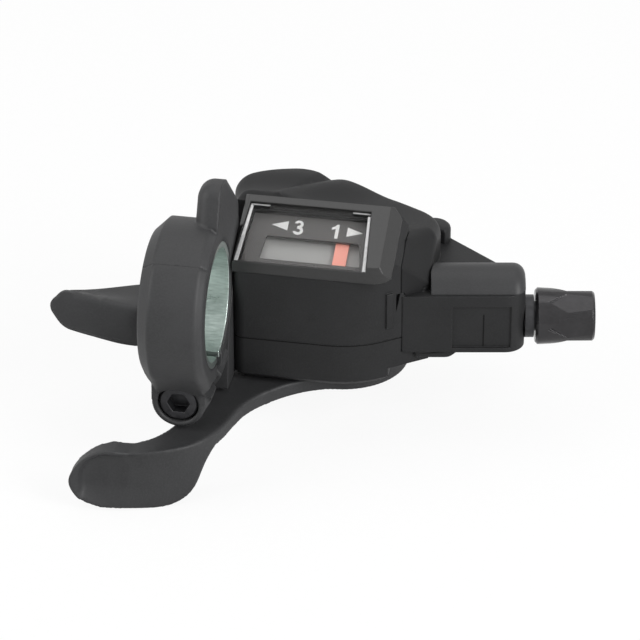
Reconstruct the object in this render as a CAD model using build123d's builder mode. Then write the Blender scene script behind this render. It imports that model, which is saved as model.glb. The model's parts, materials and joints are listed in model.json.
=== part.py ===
from build123d import *
import os
from math import cos, pi, radians, sin, tan

# Handlebar clamp: the bar runs along X through the origin
bar_diameter = 22.2
bar_gap = 0.05
band_thickness = 1.2
band_width = 12.4
band_seat_gap = 0.05
band_end_gap = 1.0
clamp_width = 12.8
clamp_wall = 4.0
clamp_left_bevel = 2.5
clamp_right_bevel = 1.3
clamp_seam_angle = 125
clamp_slit = 1.8
boss_reach = 8.5
boss_wall = 1.1
boss_blend_angle = 40
bolt_drop = 18.0
bolt_diameter = 5.0
bolt_hole_gap = 0.2
bolt_head_diameter = 7.8
bolt_head_height = 4.4
bolt_head_recess = 0.4
bolt_head_bevel = 0.4
bolt_end_gap = 0.2
bolt_socket_width = 4.0
bolt_socket_depth = 2.4
nut_width = 8.0
nut_thickness = 3.2
nut_gap = 0.1

# Cable line, turned about Z from the bar
cable_turn = 10.5
cable_offset = 16.0
cable_drop = 12.65

# Lug that joins the clamp to the case
lug_start = 1.6
lug_height = 23.2
lug_near = 0.5
lug_crown_near = 4.0
lug_crown_far = 8.6
lug_far = 20.0
lug_shoulder = 12.0
lug_foot = 10.0
lug_corner_round = 3.4
lug_edge_round = 3.0

# Case
pivot_x = 25.4
pivot_y = 30.1
case_near = 11.8
case_wall = 1.6
case_nose_angle = 36
case_right = 44.2
case_right_far = 39.7
case_far = 45.6
case_far_corner = 14.0
case_left_corner_x = 4.2
case_left_corner_y = 36.0
case_left_end = 27.0
case_right_round = 6.0
case_far_round = 9.0
case_left_round = 5.0
case_near_round = 2.5
seam_drop = 14.0
base_drop = 23.5
base_floor = 1.6
base_step = 37.0
base_right_drop = 20.5
base_bevel = 1.2
cover_seat_drop = 4.0
cover_wall = 1.8
roof_height = 10.5
roof_fall = 18.3
roof_crease = 12.0
roof_crease_turn = 20.6
roof_right_fall = 11.3
roof_edge_round = 3.0
tongue_start = 4.4
tongue_end = 8.6
tongue_tip = 6.1
tongue_length = 4.4
tongue_thickness = 0.8
tongue_gap = 0.1
rib_place = 1.2
rib_width = 1.5
rib_top = 0.6
rib_length = 7.8
rib_height = 0.4
notch_start = 2.7
notch_end = 3.6
notch_length = 4.1
notch_depth = 1.0

# Case screws and posts
post_radius = 2.4
screw_radius = 1.0
screw_gap = 0.1
screw_tip_gap = 0.4
screw_head_radius = 1.9
screw_head_height = 1.2
screw_bite = 5.0
screw_slot_length = 2.2
screw_slot_width = 0.5
left_post_inset = 3.8
left_post_y = 15.6
far_post_x = 10.6
far_post_y = 36.7
right_post_x = 40.4
right_post_y = 35.4
floor_hole_gap = 0.5
arm_slot_gap = 0.5
arm_slot_near = 15.6
arm_slot_far = 33.0
arm_slot_depth = 9.0

# Gear display
window_centre = 20.0
window_near = 12.0
window_height = 3.2
window_slope = 25.5
window_length = 13.9
window_near_width = 26.2
window_far_width = 24.0
bezel_border = 1.3
bezel_far_border = 1.2
bezel_left_gap = 0.3
bezel_seat_gap = 0.1
bezel_right = 39.2
bezel_thickness = 2.0
bezel_lip = 0.9
bezel_bevel = 0.8
bezel_corner = 5.0
bezel_far_corner = 3.0
flank_start = 35.5
flank_slope = 50
lens_thickness = 0.9
lens_gap = 0.05
dial_thickness = 0.5
dial_border = 0.8
slot_centre = 20.5
slot_width = 18.6
slot_near = 3.4
slot_height = 5.6
needle_position = 27.6
needle_width = 3.8
needle_thickness = 0.5
needle_gap = 0.35
needle_near = 1.2
needle_length = 7.6
needle_stem_near = 14.4
needle_stem_depth = 1.8
dial_inset = 0.8
dial_gap = 0.2
tray_depth = 4.2
tray_floor = 0.5
tray_wall = 0.6

# Axle and the stack on it
axle_diameter = 6.0
axle_gap = 0.05
axle_flange_diameter = 9.0
axle_flange_height = 0.8
axle_thread_end = 0.6
axle_chamfer = 0.5
axle_nut_width = 9.0
axle_nut_height = 3.2
washer_diameter = 11.0
washer_thickness = 0.8
stack_gap = 0.3
bridge_thickness = 1.4
bridge_near = 23.0
bridge_arm = 12.5
bridge_gap = 0.3

# Cable drum, and the gear that drives the needle
drum_groove_radius = 7.8
drum_flange_radius = 10.4
drum_top_drop = 10.2
groove_width = 2.4
groove_floor = 0.8
gear_module = 1.0
gear_teeth = 16
gear_thickness = 1.4
gear_addendum = 0.6
gear_dedendum = 1.0
gear_backlash = 0.4
tooth_flank = 70
rack_teeth = 4
rack_back = 19.4

# Ratchet and pawls
ratchet_radius = 11.0
ratchet_thickness = 1.8
ratchet_tooth_depth = 1.6
ratchet_tooth_angle = 8
ratchet_tooth_rake = 5
ratchet_tooth_lead = 1
click_angle = 36
pawl_angle = -5
pawl_pin_radius = 13.2
pawl_pin_diameter = 2.4
pawl_eye_radius = 1.8
pawl_nose_radius = 0.6
pawl_nose_angle = 22
pawl_lift_gap = 0.35
pawl_thickness = 1.5
pawl_tail_radius = 0.7
pin_seat = 1.0
pin_seat_gap = 0.02
carrier_thickness = 1.3
carrier_hub_radius = 7.2
carrier_end_radius = 2.6

# Springs, coiled flat from strip or wire
drum_spring_strip = 0.5
drum_spring_height = 1.8
drum_spring_radius = 4.0
drum_spring_step = 0.8
lever_spring_wire = 0.8
lever_spring_radius = 6.0
lever_spring_step = 0.6
release_spring_wire = 0.5
release_spring_radius = 6.0
release_spring_step = 0.45
spring_half_turns = 5

# Main lever
lever_thickness = 3.0
lever_gap = 0.7
lever_hub_radius = 13.4
lever_pocket_radius = 9.2
lever_pocket_depth = 1.6
sleeve_radius = 5.0
spigot_radius = 4.6
spigot_flat = 7.8
lever_near_edge = [
    (28.5, 17.2),
    (14.6, 9.4),
    (10.2, 2.6),
    (7.4, -7.0),
    (3.9, -12.5),
    (-4.4, -17.1),
    (-14.0, -19.9),
    (-21.0, -20.8),
]
lever_far_edge = [
    (-21.0, -17.2),
    (-9.3, -14.6),
    (-4.5, -11.6),
    (-0.9, -5.0),
    (4.0, 11.0),
    (14.0, 27.0),
]
paddle_back = [
    (-22.0, -17.4),
    (-14.0, -16.6),
    (-9.0, -15.4),
    (-4.0, -13.6),
    (0.0, -10.8),
    (4.0, -6.0),
    (10.0, 4.5),
]
paddle_edge = [
    (6.9, -27.4),
    (4.9, -31.4),
    (3.2, -35.0),
    (-0.8, -37.0),
    (-5.6, -37.0),
    (-11.8, -36.4),
    (-16.4, -35.0),
    (-19.3, -30.5),
    (-18.2, -27.6),
    (-15.1, -24.6),
    (-11.8, -23.4),
    (-9.6, -23.7),
]
paddle_neck = -7.6
dish_radius = 16.0
dish_depth = 0.9
dish_place = (-10.4, -19.0, -29.6)

# Release trigger
release_thickness = 2.2
release_hub_radius = 8.0
release_arm_far = (2.0, 30.0)
release_arm_far_end = (-12.6, 25.0)
release_arm_end = (-14.0, 15.4)
release_arm_near = (-5.0, 18.6)
release_arm_root = (8.0, 22.0)
release_arm_round = 4.0
release_end_round = 1.0
horn_right = -10.4
horn_near = 14.4
horn_tip = -32.0
horn_tip_back = 17.4
horn_root_back = 25.0
horn_top_drop = 9.4
horn_root_drop = 11.3
horn_tip_drop = 13.0
horn_bottom_drop = 19.6
horn_wall = 2.6
horn_web = 2.2
horn_gusset = 3.4
horn_round = 1.2
horn_crest = -28.6
horn_heel = -28.6
horn_heel_drop = 17.2
horn_tip_round = 2.4
horn_heel_round = 4.0

# Cable outlet
ear_along = 48.8
ear_inset = 0.5
ear_radius = 3.4
ear_drop = 4.9
ear_thickness = 3.0
outlet_start = 42.0
outlet_end = 66.3
outlet_half_width = 6.0
outlet_bottom = 17.5
outlet_split = 4.8
cap_start = 47.6
cap_radius = 6.0
cap_centre_drop = 7.4
cap_end_round = 2.4
outlet_end_round = 4.0
panel_start = 51.8
panel_end = 63.4
panel_top_drop = 7.2
panel_margin = 1.0
panel_depth = 0.5
stem_radius = 2.9
stem_gap = 0.05
stem_depth = 9.0
stem_reach = 3.2
collar_radius = 4.25
collar_length = 1.8
barrel_gap = 0.3
barrel_length = 11.7
barrel_radius = 5.65
barrel_tip_radius = 5.1
barrel_grips = 6
barrel_edge = 0.5
grip_start = 2.4
grip_full = 7.0
grip_width = 5.2
grip_depth = 0.75
casing_radius = 2.55
casing_depth = 5.0
cable_bore_radius = 1.2

bore_radius = bar_diameter / 2 + bar_gap
band_radius = bore_radius + band_thickness
seat_radius = band_radius + band_seat_gap
clamp_radius = seat_radius + clamp_wall
ear_face = clamp_slit / 2 + band_thickness + band_seat_gap
turn_cos = cos(radians(cable_turn))
turn_sin = sin(radians(cable_turn))
ear_across = (case_far - ear_inset - ear_along * turn_sin) / turn_cos - ear_radius
lug_end = clamp_width / 2
left_post_x = lug_end + left_post_inset
boss_round = bolt_head_diameter / 2 + bolt_hole_gap + boss_wall
boss_drop = bolt_drop + boss_round
case_radius = pivot_y - case_near
pivot = (pivot_x, pivot_y)
drum_top = -drum_top_drop
drum_bottom = -2 * cable_drop + drum_top_drop
gear_top = drum_top + gear_thickness
ratchet_top = drum_bottom
ratchet_bottom = ratchet_top - ratchet_thickness
carrier_top = ratchet_bottom - stack_gap
carrier_bottom = carrier_top - carrier_thickness
release_top = carrier_bottom - stack_gap
release_bottom = release_top - release_thickness
lever_top = -base_drop - lever_gap
lever_bottom = lever_top - lever_thickness
bridge_bottom = -cover_seat_drop - bridge_thickness
floor_top = -base_drop + base_floor
gear_radius = gear_module * gear_teeth / 2
gear_pitch = pi * gear_module
gear_tooth = gear_pitch / 2 - gear_backlash
tooth_taper = 2 / tan(radians(tooth_flank))
holding_angle = pawl_angle - 3 * click_angle
pawl_clear_radius = ratchet_radius + pawl_lift_gap + pawl_nose_radius


screw_sites = [
    (left_post_x, left_post_y, base_drop),
    (far_post_x, far_post_y, base_drop),
    (right_post_x, right_post_y, base_right_drop),
]


def turned(along, across):
    """Point in the cable's frame, given in the bar's frame."""
    return (along * turn_cos - across * turn_sin, along * turn_sin + across * turn_cos)


def around(radius, angle):
    """Point at a radius and angle from the lever axle."""
    return (pivot_x + radius * cos(radians(angle)), pivot_y + radius * sin(radians(angle)))


def polar(radius, angle):
    """Point at a radius and angle from the bar's axis."""
    return (radius * cos(radians(angle)), radius * sin(radians(angle)))


def above(drop):
    """Level plane at a depth under the bar's axis."""
    return Plane.XY.offset(-drop)


def across_plane(along):
    """Section plane square to the cable line."""
    x, y = turned(along, 0)
    return Plane(origin=(x, y, 0), x_dir=(-turn_sin, turn_cos, 0), z_dir=(turn_cos, turn_sin, 0))


window_plane = Plane(
    origin=(window_centre, window_near, window_height),
    x_dir=(1, 0, 0),
    z_dir=(0, -sin(radians(window_slope)), cos(radians(window_slope))),
)

# Ring section, swept round the bar for both halves of the clamp
with BuildSketch(Plane.XZ) as ring_section:
    with BuildLine():
        Polyline(
            (-clamp_width / 2, seat_radius),
            (-clamp_width / 2, clamp_radius - clamp_left_bevel),
            (clamp_left_bevel - clamp_width / 2, clamp_radius),
            (clamp_width / 2 - clamp_right_bevel, clamp_radius),
            (clamp_width / 2, clamp_radius - clamp_right_bevel),
            (clamp_width / 2, seat_radius),
            close=True,
        )
    make_face()

seam_far = polar(3 * clamp_radius, clamp_seam_angle)
boss_plane = Plane(origin=(0, -boss_reach, 0), x_dir=(1, 0, 0), z_dir=(0, 1, 0))
with BuildSketch() as boss_section:
    with Locations((0, clamp_radius / 2)):
        Rectangle(clamp_width - 2 * clamp_right_bevel, clamp_radius)
    with Locations((0, bolt_drop)):
        Circle(boss_round)
    make_hull()

# Clamp cover: the rider's side of the ring, with the bolt boss
with BuildPart() as clamp_cover:
    add(ring_section.sketch)
    revolve(axis=Axis.X)
    with BuildSketch(Plane.YZ.offset(-clamp_width)):
        with BuildLine():
            Polyline(
                (0, 0),
                seam_far,
                (-3 * clamp_radius, -3 * clamp_radius),
                (-ear_face, -3 * clamp_radius),
                (-ear_face, 0),
                close=True,
            )
        make_face()
    extrude(amount=2 * clamp_width, mode=Mode.INTERSECT)
    with BuildSketch(boss_plane):
        add(boss_section.sketch)
    extrude(amount=boss_reach - ear_face)
    with Locations(Plane(origin=(0, -boss_reach, -bolt_drop), x_dir=(1, 0, 0), z_dir=(0, -1, 0))):
        CounterBoreHole(
            bolt_diameter / 2 + bolt_hole_gap,
            bolt_head_diameter / 2 + bolt_hole_gap,
            bolt_head_height + bolt_head_recess,
        )
    with BuildSketch(Plane.YZ.offset(-clamp_width)):
        Circle(seat_radius)
    extrude(amount=2 * clamp_width, mode=Mode.SUBTRACT)

# Lug: a cheek plate square to the bar, rounded along its crown
with BuildPart() as clamp_lug:
    with BuildSketch(Plane.YZ.offset(lug_start)):
        with BuildLine():
            FilletPolyline(
                (lug_near, seat_radius),
                (lug_near, clamp_radius),
                (lug_crown_near, lug_height),
                (lug_crown_far, lug_height),
                (lug_far, lug_shoulder),
                (lug_far, -lug_foot),
                polar(seat_radius, -boss_blend_angle),
                radius=[0, lug_corner_round, lug_corner_round, lug_corner_round, lug_corner_round],
            )
            Line(polar(seat_radius, -boss_blend_angle), (lug_near, seat_radius))
        make_face()
    extrude(amount=lug_end - lug_start)
    crown = clamp_lug.faces().sort_by(Axis.X)[0].edges().filter_by(lambda e: e.center().Z > lug_shoulder)
    fillet(crown.filter_by(lambda e: e.center().Y > lug_near), radius=lug_edge_round)

# Clamp shell: the far side of the ring, with the lug to the case
with BuildPart() as clamp_shell:
    add(ring_section.sketch)
    revolve(axis=Axis.X)
    with BuildSketch(Plane.YZ.offset(-clamp_width)):
        with BuildLine():
            Polyline(
                (0, 0),
                seam_far,
                (3 * clamp_radius, 3 * clamp_radius),
                (3 * clamp_radius, -3 * clamp_radius),
                (ear_face, -3 * clamp_radius),
                (ear_face, 0),
                close=True,
            )
        make_face()
    extrude(amount=2 * clamp_width, mode=Mode.INTERSECT)
    with BuildSketch(boss_plane.offset(boss_reach + ear_face)):
        add(boss_section.sketch)
    extrude(amount=boss_reach - ear_face)
    add(clamp_lug.part)
    with BuildSketch(Plane.YZ.offset(-clamp_width)):
        Circle(seat_radius)
    extrude(amount=2 * clamp_width, mode=Mode.SUBTRACT)
    with BuildSketch(Plane(origin=(0, 0, -bolt_drop), x_dir=(1, 0, 0), z_dir=(0, 1, 0))):
        Circle(bolt_diameter / 2 + bolt_hole_gap)
    extrude(amount=2 * boss_reach, mode=Mode.SUBTRACT)
    with BuildSketch(Plane(origin=(0, boss_reach, -bolt_drop), x_dir=(1, 0, 0), z_dir=(0, -1, 0))):
        RegularPolygon(nut_width / 2 + nut_gap, 6, major_radius=False)
    extrude(amount=nut_thickness + nut_gap, mode=Mode.SUBTRACT)

# Steel band round the bar, split at the bottom
with BuildPart() as clamp_band:
    with BuildSketch(boss_plane.offset(boss_reach - clamp_slit / 2 - band_thickness)):
        add(boss_section.sketch)
        offset(amount=-band_end_gap)
    extrude(amount=clamp_slit + 2 * band_thickness)
    with BuildSketch(Plane.YZ.offset(-band_width / 2)):
        Circle(band_radius)
    extrude(amount=band_width)
    with BuildSketch(Plane.YZ.offset(-band_width / 2)):
        Circle(bore_radius)
        with Locations((0, -boss_drop / 2)):
            Rectangle(clamp_slit, boss_drop)
    extrude(amount=band_width, mode=Mode.SUBTRACT)
    with BuildSketch(Plane(origin=(0, -boss_reach, -bolt_drop), x_dir=(1, 0, 0), z_dir=(0, 1, 0))):
        Circle(bolt_diameter / 2 + bolt_hole_gap)
    extrude(amount=2 * boss_reach, mode=Mode.SUBTRACT)

# Clamp bolt and hexagon nut
bolt_face = -boss_reach + bolt_head_recess
bolt_plane = Plane(origin=(0, bolt_face, -bolt_drop), x_dir=(1, 0, 0), z_dir=(0, 1, 0))
with BuildPart() as clamp_bolt:
    with BuildSketch(bolt_plane):
        Circle(bolt_head_diameter / 2)
    extrude(amount=bolt_head_height)
    chamfer(clamp_bolt.edges().sort_by(Axis.Y)[0], length=bolt_head_bevel)
    with BuildSketch(bolt_plane.offset(bolt_head_height)):
        Circle(bolt_diameter / 2)
    extrude(amount=2 * boss_reach - bolt_head_recess - bolt_head_height - bolt_end_gap)
    with BuildSketch(bolt_plane):
        RegularPolygon(bolt_socket_width / 2, 6, major_radius=False)
    extrude(amount=bolt_socket_depth, mode=Mode.SUBTRACT)

with BuildPart() as clamp_nut:
    with BuildSketch(Plane(origin=(0, boss_reach - nut_gap, -bolt_drop), x_dir=(1, 0, 0), z_dir=(0, -1, 0))):
        RegularPolygon(nut_width / 2, 6, major_radius=False)
        Circle(bolt_diameter / 2 + axle_gap, mode=Mode.SUBTRACT)
    extrude(amount=nut_thickness)

# Case outline, shared by the housings and the cover
nose_start = around(case_radius, case_nose_angle - 90)
nose_rise = (case_right - nose_start[0]) * tan(radians(case_nose_angle))
with BuildSketch() as case_outline:
    with BuildLine():
        CenterArc(pivot, case_radius, -90, case_nose_angle)
        FilletPolyline(
            nose_start,
            (case_right, nose_start[1] + nose_rise),
            (case_right, case_right_far),
            (case_far_corner, case_far),
            (case_left_corner_x, case_left_corner_y),
            (lug_end, case_left_end),
            (lug_end, case_near),
            (pivot_x, case_near),
            radius=[0, case_right_round, case_far_round, case_left_round, case_left_round, case_near_round],
        )
    make_face()

nose_plane = Plane(
    origin=(*nose_start, -cover_seat_drop),
    x_dir=(cos(radians(case_nose_angle)), sin(radians(case_nose_angle)), 0),
    z_dir=(sin(radians(case_nose_angle)), -cos(radians(case_nose_angle)), 0),
)
with BuildSketch() as tongue_outline:
    with BuildLine():
        Polyline((tongue_start, 0), (tongue_tip, -tongue_length), (tongue_end, 0), close=True)
    make_face()

with BuildSketch() as case_inside:
    add(case_outline.sketch)
    offset(amount=-case_wall, kind=Kind.INTERSECTION)

bezel_back = (
    window_near
    + (window_length + bezel_far_border) * cos(radians(window_slope))
    + bezel_thickness * sin(radians(window_slope))
    + bezel_seat_gap
)
roof_plane = Plane(
    origin=(0, bezel_back, roof_height),
    z_dir=(0, sin(radians(roof_fall)), cos(radians(roof_fall))),
)
right_rise = tan(radians(roof_right_fall))
right_roof_plane = Plane(
    origin=(roof_crease, bezel_back, roof_height),
    z_dir=(right_rise, tan(radians(roof_fall)) - right_rise * tan(radians(roof_crease_turn)), 1),
)
flank_plane = Plane(
    origin=window_plane.from_local_coords((flank_start - window_centre, 0, bezel_lip)),
    z_dir=window_plane.x_dir * sin(radians(flank_slope)) + window_plane.z_dir * cos(radians(flank_slope)),
)
cable_plane = Plane(
    origin=(*turned(0, cable_offset), -cable_drop),
    x_dir=(turn_cos, turn_sin, 0),
    z_dir=(turn_sin, -turn_cos, 0),
)
cable_axis = Axis(cable_plane.origin, cable_plane.x_dir)

# Display tower: the part of the case under the bezel
with BuildSketch() as tower_outline:
    add(case_outline.sketch)
    with Locations((bezel_right - bezel_seat_gap, bezel_back - bezel_seat_gap)):
        Rectangle(2 * case_right, 2 * case_far, align=(Align.MAX, Align.MAX), mode=Mode.INTERSECT)

with BuildSketch() as tower_inside:
    add(tower_outline.sketch)
    offset(amount=-case_wall, kind=Kind.INTERSECTION)

# Upper housing: case wall, display tower, cable outlet and corner ear
rim = window_plane.offset(-bezel_thickness).origin
rim_rise = tan(radians(window_slope))
flank_drop = (bezel_right - flank_start) * tan(radians(flank_slope))
with BuildPart() as upper_housing:
    with BuildSketch(above(seam_drop)):
        add(case_outline.sketch)
    extrude(amount=seam_drop - cover_seat_drop)
    with BuildSketch(across_plane(outlet_start)):
        with Locations((cable_offset, -(outlet_bottom + outlet_split) / 2)):
            Rectangle(2 * outlet_half_width, outlet_bottom - outlet_split)
    extrude(amount=outlet_end - outlet_start)
    fillet(upper_housing.faces().sort_by(Axis.X)[-1].edges().filter_by(Axis.Z), radius=outlet_end_round)
    with BuildSketch(above(outlet_bottom)):
        add(case_outline.sketch)
    extrude(amount=outlet_bottom - seam_drop, mode=Mode.SUBTRACT)
    with BuildSketch(above(cover_seat_drop)):
        add(tower_outline.sketch)
    extrude(amount=cover_seat_drop + lug_height)
    with BuildSketch(Plane.YZ.offset(-case_right)):
        with BuildLine():
            Polyline(
                (0, rim.Z - rim.Y * rim_rise),
                (case_far, rim.Z + (case_far - rim.Y) * rim_rise),
                (case_far, 2 * lug_height),
                (0, 2 * lug_height),
                close=True,
            )
        make_face()
    extrude(amount=3 * case_right, mode=Mode.SUBTRACT)
    with BuildSketch(Plane(origin=window_plane.origin, x_dir=window_plane.x_dir, z_dir=-window_plane.y_dir)):
        with BuildLine():
            Polyline(
                (flank_start - window_centre, bezel_lip),
                (bezel_right - window_centre, bezel_lip),
                (bezel_right - window_centre, bezel_lip - flank_drop),
                close=True,
            )
        make_face()
    extrude(amount=2 * window_length, both=True, mode=Mode.SUBTRACT)
    with BuildSketch(above(cover_seat_drop)):
        add(tower_inside.sketch)
    extrude(amount=cover_seat_drop + lug_height, mode=Mode.SUBTRACT)
    with BuildSketch(above(ear_drop + ear_thickness)):
        with BuildLine():
            Polyline(
                turned(ear_along, ear_across + ear_radius),
                turned(ear_along + ear_radius, ear_across),
                turned(outlet_end - outlet_end_round, cable_offset + outlet_half_width),
                turned(outlet_start, cable_offset),
                (case_right, case_right_far - case_right_round),
                close=True,
            )
        make_face()
        with Locations(turned(ear_along, ear_across)):
            Circle(ear_radius)
    extrude(amount=ear_thickness)
    with BuildSketch(above(seam_drop)):
        with Locations(turned(ear_along, ear_across)):
            Circle(ear_radius)
    extrude(amount=seam_drop - ear_drop)
    with BuildSketch(above(seam_drop)):
        add(case_inside.sketch)
    extrude(amount=seam_drop - cover_seat_drop, mode=Mode.SUBTRACT)
    for x, y, drop in screw_sites:
        with BuildSketch(above(seam_drop)):
            with Locations((x, y)):
                Circle(post_radius)
        extrude(amount=seam_drop + bridge_bottom)
        with BuildSketch(above(seam_drop)):
            with Locations((x, y)):
                Circle(screw_radius + pin_seat_gap)
        extrude(amount=screw_bite + screw_tip_gap, mode=Mode.SUBTRACT)
    with BuildSketch(nose_plane):
        add(tongue_outline.sketch)
        offset(amount=tongue_gap, kind=Kind.INTERSECTION)
    extrude(amount=-tongue_thickness - tongue_gap, mode=Mode.SUBTRACT)
    with BuildSketch(nose_plane):
        with BuildLine():
            Polyline((notch_start, 0), (notch_start, -notch_length), (notch_end, 0), close=True)
        make_face()
    extrude(amount=-notch_depth, mode=Mode.SUBTRACT)
    with BuildSketch(nose_plane):
        with Locations((rib_place, rib_top)):
            Rectangle(rib_width, rib_length, align=(Align.CENTER, Align.MAX))
    extrude(amount=rib_height)
    panel_bottom_drop = outlet_bottom - panel_margin
    with BuildSketch(across_plane(panel_start)):
        with Locations((cable_offset - outlet_half_width, -(panel_bottom_drop + panel_top_drop) / 2)):
            Rectangle(2 * panel_depth, panel_bottom_drop - panel_top_drop)
    extrude(amount=panel_end - panel_start, mode=Mode.SUBTRACT)
    with BuildSketch(across_plane(outlet_start - 2 * case_wall)):
        with Locations((cable_offset, -cable_drop)):
            Circle(stem_radius + stem_gap)
    extrude(amount=outlet_end, mode=Mode.SUBTRACT)

# Lower housing: floor and wall under the seam, open on the left for the release arm
with BuildPart() as lower_housing:
    with BuildSketch(above(base_right_drop)):
        add(case_outline.sketch)
    extrude(amount=base_right_drop - seam_drop)
    with BuildSketch(above(base_drop)) as pan_outline:
        add(case_outline.sketch)
        with Locations((base_step - case_right, pivot_y)):
            Rectangle(2 * case_right, 4 * case_far, mode=Mode.INTERSECT)
    extrude(amount=base_drop - base_right_drop)
    chamfer(lower_housing.faces().sort_by(Axis.Z)[0].edges(), length=base_bevel)
    with BuildSketch(above(base_right_drop - base_floor)):
        add(case_inside.sketch)
    extrude(amount=base_right_drop - seam_drop, mode=Mode.SUBTRACT)
    with BuildSketch(above(base_drop - base_floor)):
        add(case_inside.sketch)
        with Locations((base_step - case_wall - case_right, pivot_y)):
            Rectangle(2 * case_right, 4 * case_far, mode=Mode.INTERSECT)
    extrude(amount=base_drop - seam_drop, mode=Mode.SUBTRACT)
    with BuildSketch(above(base_drop)):
        with Locations(pivot):
            Circle(sleeve_radius + floor_hole_gap)
    extrude(amount=base_floor, mode=Mode.SUBTRACT)
    with BuildSketch(Plane.XY.offset(release_bottom - arm_slot_gap)):
        with Locations((0, (arm_slot_near + arm_slot_far) / 2)):
            Rectangle(2 * arm_slot_depth, arm_slot_far - arm_slot_near)
    extrude(amount=release_thickness + 2 * arm_slot_gap, mode=Mode.SUBTRACT)
    with BuildSketch(Plane.XY.offset(floor_top - pin_seat)):
        with Locations(around(pawl_pin_radius, holding_angle)):
            Circle(pawl_pin_diameter / 2 + pin_seat_gap)
    extrude(amount=pin_seat, mode=Mode.SUBTRACT)
    for x, y, drop in screw_sites:
        with BuildSketch(above(drop)):
            with Locations((x, y)):
                Circle(post_radius)
        extrude(amount=drop - seam_drop)
        with BuildSketch(above(drop)):
            with Locations((x, y)):
                Circle(screw_radius + screw_gap)
        extrude(amount=drop - seam_drop, mode=Mode.SUBTRACT)
        with BuildSketch(above(drop)):
            with Locations((x, y)):
                Circle(screw_head_radius + screw_gap)
        extrude(amount=screw_head_height, mode=Mode.SUBTRACT)

# Case screws, from below into the posts of the upper housing
with BuildPart() as case_screws:
    for x, y, drop in screw_sites:
        with BuildSketch(above(drop)):
            with Locations((x, y)):
                Circle(screw_head_radius)
        extrude(amount=screw_head_height)
        with BuildSketch(above(drop - screw_head_height)):
            with Locations((x, y)):
                Circle(screw_radius)
        extrude(amount=drop - screw_head_height - seam_drop + screw_bite)
        with BuildSketch(above(drop)):
            with Locations((x, y)):
                Rectangle(screw_slot_length, screw_slot_width)
                Rectangle(screw_slot_width, screw_slot_length)
        extrude(amount=screw_head_height / 2, mode=Mode.SUBTRACT)

# Top cover: sloped roof over the mechanism
with BuildSketch() as cover_outline:
    add(case_outline.sketch)
    with Locations((bezel_right - case_right, bezel_back - 2 * case_far)):
        Rectangle(2 * case_right, 4 * case_far, mode=Mode.SUBTRACT)

with BuildPart() as cover_core:
    with BuildSketch(above(cover_seat_drop)):
        add(cover_outline.sketch)
        offset(amount=-case_wall, kind=Kind.INTERSECTION)
    extrude(amount=cover_seat_drop + lug_height)
    for plane in (roof_plane, right_roof_plane, flank_plane):
        split(bisect_by=plane.offset(-cover_wall), keep=Keep.BOTTOM)

with BuildPart() as top_cover:
    with BuildSketch(above(cover_seat_drop)):
        add(cover_outline.sketch)
    extrude(amount=cover_seat_drop + lug_height)
    for plane in (roof_plane, right_roof_plane, flank_plane):
        split(bisect_by=plane, keep=Keep.BOTTOM)
    crown = top_cover.edges().filter_by(Axis.Z, reverse=True).filter_by(
        lambda e: e.center().Z > -cover_seat_drop and e.center().Y > bezel_back + bezel_seat_gap
    )
    fillet(crown, radius=roof_edge_round)
    add(cover_core.part, mode=Mode.SUBTRACT)
    with BuildSketch(nose_plane):
        add(tongue_outline.sketch)
    extrude(amount=-tongue_thickness)

# Display bezel: sloped frame over the window
with BuildSketch(window_plane.offset(-bezel_thickness)) as bezel_outline:
    with BuildLine():
        near_v = -bezel_border
        far_v = window_length + bezel_far_border
        left_u = lug_end + bezel_left_gap - window_centre
        right_u = bezel_right - window_centre
        FilletPolyline(
            (left_u, near_v),
            (right_u, near_v),
            (right_u, far_v),
            (left_u, far_v),
            radius=[bezel_corner, bezel_far_corner],
        )
        Line((left_u, far_v), (left_u, near_v))
    make_face()
with BuildSketch() as window_outline:
    with BuildLine():
        Polyline(
            (-window_near_width / 2, 0),
            (window_near_width / 2, 0),
            (window_far_width / 2, window_length),
            (-window_far_width / 2, window_length),
            close=True,
        )
    make_face()

with BuildPart() as indicator_bezel:
    add(bezel_outline.sketch)
    extrude(amount=bezel_thickness + bezel_lip)
    chamfer(indicator_bezel.faces().filter_by(window_plane).sort_by(Axis.Z)[-1].edges(), length=bezel_bevel)
    split(bisect_by=flank_plane, keep=Keep.BOTTOM)
    with BuildSketch(window_plane.offset(-lens_thickness)):
        add(window_outline.sketch)
        offset(amount=lens_gap, kind=Kind.INTERSECTION)
    extrude(amount=lens_thickness + 2 * bezel_lip, mode=Mode.SUBTRACT)
    with BuildSketch(window_plane.offset(-bezel_thickness)):
        add(window_outline.sketch)
        offset(amount=-dial_border, kind=Kind.INTERSECTION)
    extrude(amount=bezel_thickness, mode=Mode.SUBTRACT)

with BuildPart() as indicator_lens:
    with BuildSketch(window_plane.offset(-lens_thickness)):
        add(window_outline.sketch)
    extrude(amount=lens_thickness)

# Dial: plate under the bezel, with a slot and a tray for the needle
with BuildPart() as indicator_dial:
    with BuildSketch(window_plane.offset(-bezel_thickness - dial_thickness)):
        with Locations((0, window_length / 2)):
            Rectangle(window_near_width, window_length - 2 * dial_inset)
    extrude(amount=dial_thickness)
    with BuildSketch(window_plane.offset(-tray_depth)):
        with Locations((slot_centre - window_centre, slot_near + slot_height / 2)):
            Rectangle(slot_width + 2 * tray_wall, slot_height)
    extrude(amount=tray_depth - bezel_thickness)
    with BuildSketch(window_plane.offset(tray_floor - tray_depth)):
        with Locations((slot_centre - window_centre, slot_near + slot_height / 2)):
            Rectangle(slot_width, slot_height)
    extrude(amount=tray_depth, mode=Mode.SUBTRACT)
    with BuildSketch(above(seam_drop)):
        add(case_inside.sketch)
        offset(amount=-dial_gap, kind=Kind.INTERSECTION)
    extrude(amount=seam_drop + lug_height, mode=Mode.INTERSECT)

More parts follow.
